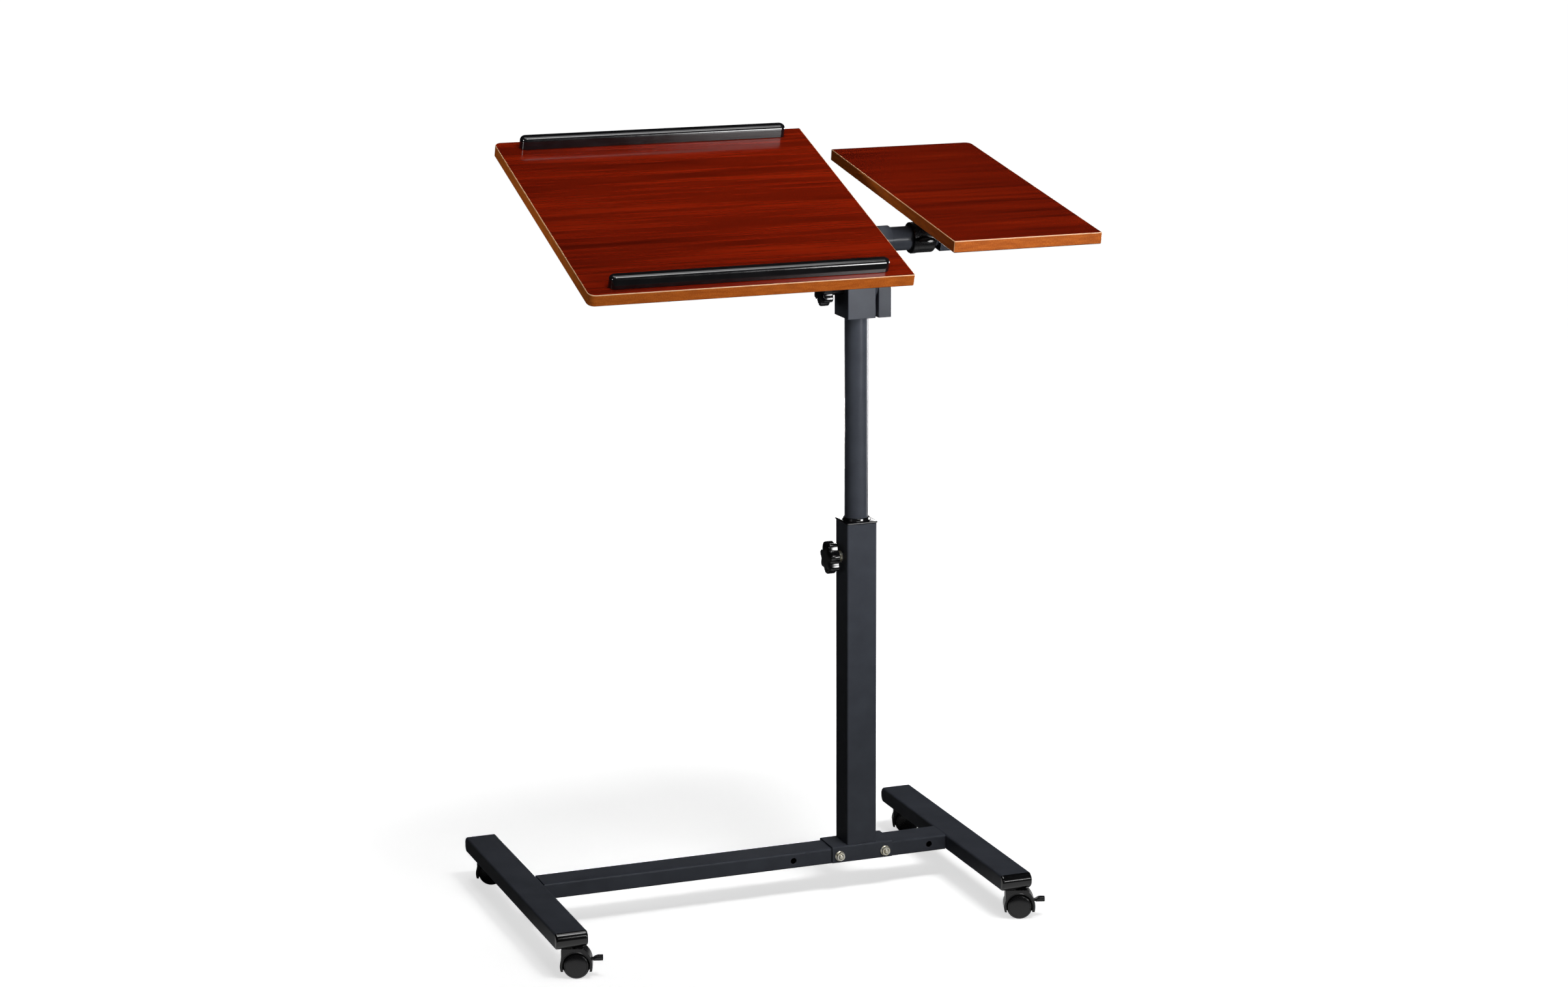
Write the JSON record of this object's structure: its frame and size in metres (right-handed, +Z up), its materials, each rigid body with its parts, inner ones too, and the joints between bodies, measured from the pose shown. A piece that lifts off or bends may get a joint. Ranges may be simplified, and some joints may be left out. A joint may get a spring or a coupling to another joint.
{
  "type": "laptop table",
  "caption": "Rolling laptop table: a tilting laminated main top with stop bars and a separately tilting side top on a height-adjustable, swivelling column.",
  "frame": {"origin": "on the floor, under the middle of the table's outer box", "axes": "+X to the user's right, towards the side top; -Y towards the user; +Z up"},
  "size_m": [0.6866, 0.4286, 0.9673],
  "materials": {
    "powder_black": "satin black powder coat",
    "gloss_black": "glossy black moulded plastic",
    "soft_black": "satin black moulded plastic",
    "yellow_zinc": "yellow zinc plate",
    "bare_steel": "drawn steel",
    "mahogany_laminate": "glossy mahogany-red laminate on particle board"
  },
  "bodies": {
    "base": {"left_foot": "powder_black", "right_foot": "powder_black", "foot_cap_front_left": "gloss_black", "foot_cap_back_left": "gloss_black", "foot_cap_front_right": "gloss_black", "foot_cap_back_right": "gloss_black", "crossbar": "powder_black", "column_saddle": "powder_black", "saddle_bolt_left": "yellow_zinc", "saddle_bolt_right": "yellow_zinc", "saddle_nut_left": "yellow_zinc", "saddle_nut_right": "yellow_zinc", "column": "powder_black", "column_cap": "gloss_black", "height_nut": "yellow_zinc"},
    "slider": {"pole_glide": "soft_black"},
    "post": {"pole": "powder_black", "head_sleeve": "powder_black", "clamp_jaw": "powder_black", "tilt_nut": "yellow_zinc"},
    "carrier": {"tilt_leaf": "powder_black", "arm_tube": "powder_black", "main_bracket": "powder_black", "main_top": "mahogany_laminate", "front_stop": "gloss_black", "back_stop": "gloss_black", "main_screw_1": "yellow_zinc", "main_screw_2": "yellow_zinc", "main_screw_3": "yellow_zinc", "main_screw_4": "yellow_zinc", "arm_collar": "soft_black"},
    "side": {"side_tube": "powder_black", "side_bracket": "powder_black", "side_top": "mahogany_laminate", "side_screw_1": "yellow_zinc", "side_screw_2": "yellow_zinc", "side_screw_3": "yellow_zinc", "side_screw_4": "yellow_zinc"},
    "height_grip": {"height_knob": "gloss_black"},
    "tilt_grip": {"tilt_knob": "gloss_black"},
    "side_grip": {"thumb_screw": "soft_black"},
    "front_left_fork": {"caster_front_left_hood": "soft_black"},
    "front_left_wheels": {"caster_front_left_axle": "bare_steel", "caster_front_left_wheel_front": "soft_black", "caster_front_left_wheel_back": "soft_black"},
    "front_left_brake": {"caster_front_left_brake": "soft_black"},
    "front_right_fork": {"caster_front_right_hood": "soft_black"},
    "front_right_wheels": {"caster_front_right_axle": "bare_steel", "caster_front_right_wheel_front": "soft_black", "caster_front_right_wheel_back": "soft_black"},
    "front_right_brake": {"caster_front_right_brake": "soft_black"},
    "back_left_fork": {"caster_back_left_hood": "soft_black"},
    "back_left_wheels": {"caster_back_left_axle": "bare_steel", "caster_back_left_wheel_front": "soft_black", "caster_back_left_wheel_back": "soft_black"},
    "back_right_fork": {"caster_back_right_hood": "soft_black"},
    "back_right_wheels": {"caster_back_right_axle": "bare_steel", "caster_back_right_wheel_front": "soft_black", "caster_back_right_wheel_back": "soft_black"}
  },
  "joints": [
    {"name": "height_slide", "type": "slide", "parent": "base", "child": "slider", "axis": [0, 0, 1], "range_m": [-0.24, 0.06]},
    {"name": "top_swivel", "type": "hinge", "parent": "slider", "child": "post", "pos_m": [0.11875, 0.01441, 0.4798], "axis": [0, 0, 1], "continuous": true},
    {"name": "main_tilt", "type": "hinge", "parent": "post", "child": "carrier", "pos_m": [0.11875, 0.01441, 0.776], "axis": [1, 0, 0], "range_deg": [-54, 16]},
    {"name": "side_tilt", "type": "hinge", "parent": "carrier", "child": "side", "pos_m": [0.11875, -0.00643, 0.83651], "axis": [1, 0, 0], "range_deg": [-44, 26]},
    {"name": "height_knob_turn", "type": "hinge", "parent": "base", "child": "height_grip", "pos_m": [0.09415, 0.01441, 0.4358], "axis": [1, 0, 0], "continuous": true},
    {"name": "tilt_knob_turn", "type": "hinge", "parent": "post", "child": "tilt_grip", "pos_m": [0.09995, 0.01441, 0.776], "axis": [1, 0, 0], "continuous": true},
    {"name": "thumb_screw_turn", "type": "hinge", "parent": "carrier", "child": "side_grip", "pos_m": [0.19325, -0.00643, 0.83651], "axis": [0, 1, 0], "continuous": true},
    {"name": "front_left_swivel", "type": "hinge", "parent": "base", "child": "front_left_fork", "pos_m": [-0.32325, -0.16759, 0.016], "axis": [0, 0, 1], "continuous": true},
    {"name": "front_left_roll", "type": "hinge", "parent": "front_left_fork", "child": "front_left_wheels", "pos_m": [-0.31432, -0.17084, 0.016], "axis": [0.342, 0.9397, 0], "continuous": true},
    {"name": "front_left_brake_press", "type": "hinge", "parent": "front_left_fork", "child": "front_left_brake", "pos_m": [-0.30117, -0.17563, 0.0224], "axis": [0.342, 0.9397, 0], "range_deg": [0, 10]},
    {"name": "front_right_swivel", "type": "hinge", "parent": "base", "child": "front_right_fork", "pos_m": [0.25475, -0.16759, 0.016], "axis": [0, 0, 1], "continuous": true},
    {"name": "front_right_roll", "type": "hinge", "parent": "front_right_fork", "child": "front_right_wheels", "pos_m": [0.26368, -0.17084, 0.016], "axis": [0.342, 0.9397, 0], "continuous": true},
    {"name": "front_right_brake_press", "type": "hinge", "parent": "front_right_fork", "child": "front_right_brake", "pos_m": [0.27683, -0.17563, 0.0224], "axis": [0.342, 0.9397, 0], "range_deg": [0, 10]},
    {"name": "back_left_swivel", "type": "hinge", "parent": "base", "child": "back_left_fork", "pos_m": [-0.32325, 0.19641, 0.016], "axis": [0, 0, 1], "continuous": true},
    {"name": "back_left_roll", "type": "hinge", "parent": "back_left_fork", "child": "back_left_wheels", "pos_m": [-0.31432, 0.19316, 0.016], "axis": [0.342, 0.9397, 0], "continuous": true},
    {"name": "back_right_swivel", "type": "hinge", "parent": "base", "child": "back_right_fork", "pos_m": [0.25475, 0.19641, 0.016], "axis": [0, 0, 1], "continuous": true},
    {"name": "back_right_roll", "type": "hinge", "parent": "back_right_fork", "child": "back_right_wheels", "pos_m": [0.26368, 0.19316, 0.016], "axis": [0.342, 0.9397, 0], "continuous": true}
  ]
}
